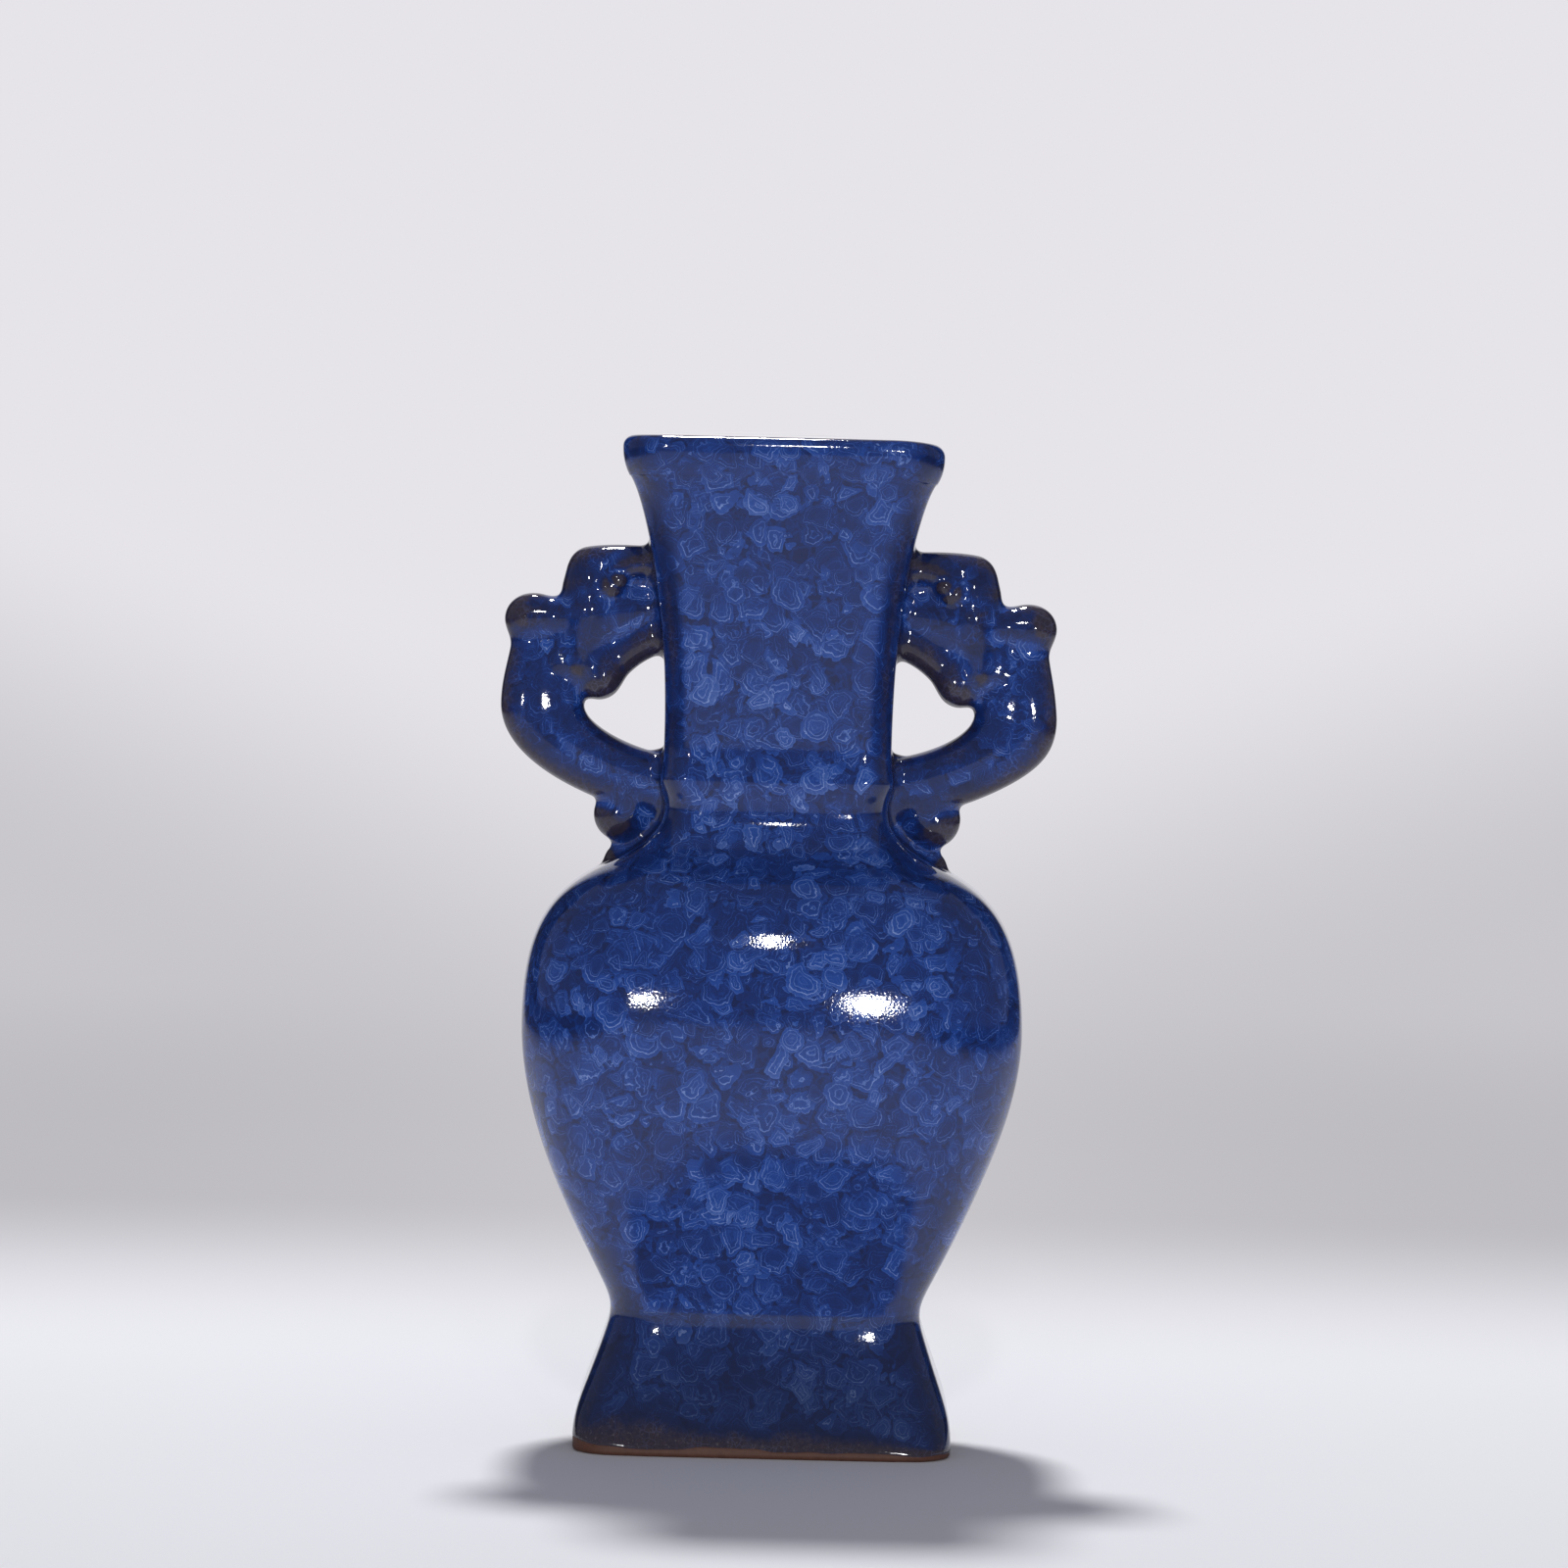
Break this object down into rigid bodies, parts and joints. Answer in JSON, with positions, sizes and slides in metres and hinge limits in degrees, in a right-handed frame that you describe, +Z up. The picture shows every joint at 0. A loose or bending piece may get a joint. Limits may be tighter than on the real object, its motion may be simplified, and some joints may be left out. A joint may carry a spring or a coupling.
{
  "type": "four-sided baluster vase with two handles",
  "caption": "Cobalt blue crackle-glazed flower vase: rectangular baluster body on a splayed foot, with a flared mouth and a beast-head handle on each side.",
  "frame": {"origin": "centre of the foot's rim, on the surface that the vase stands on", "axes": "+Z up, -Y the broad front, +X the side of the right handle"},
  "size_m": [0.126, 0.081, 0.2285],
  "materials": {
    "glaze": "glossy cobalt blue crackle glaze",
    "thin_glaze": "glossy glaze, thin and brown over the ridges",
    "biscuit": "unglazed russet clay"
  },
  "bodies": {
    "root": {"foot_ring": "glaze", "vessel_floor": "biscuit", "belly_lower": "glaze", "belly_upper": "glaze", "neck_collar": "glaze", "neck_wall": "glaze", "mouth_lip": "glaze", "right_head": "glaze", "right_cheek_roll": "glaze", "right_jaw_roll": "thin_glaze", "right_crest_roll": "glaze", "right_ear_roll": "thin_glaze", "right_strap_roll": "glaze", "right_inner_roll": "thin_glaze", "right_tail_scroll": "thin_glaze", "left_head": "glaze", "left_cheek_roll": "glaze", "left_jaw_roll": "thin_glaze", "left_crest_roll": "glaze", "left_ear_roll": "thin_glaze", "left_strap_roll": "glaze", "left_inner_roll": "thin_glaze", "left_tail_scroll": "thin_glaze"}
  },
  "joints": []
}
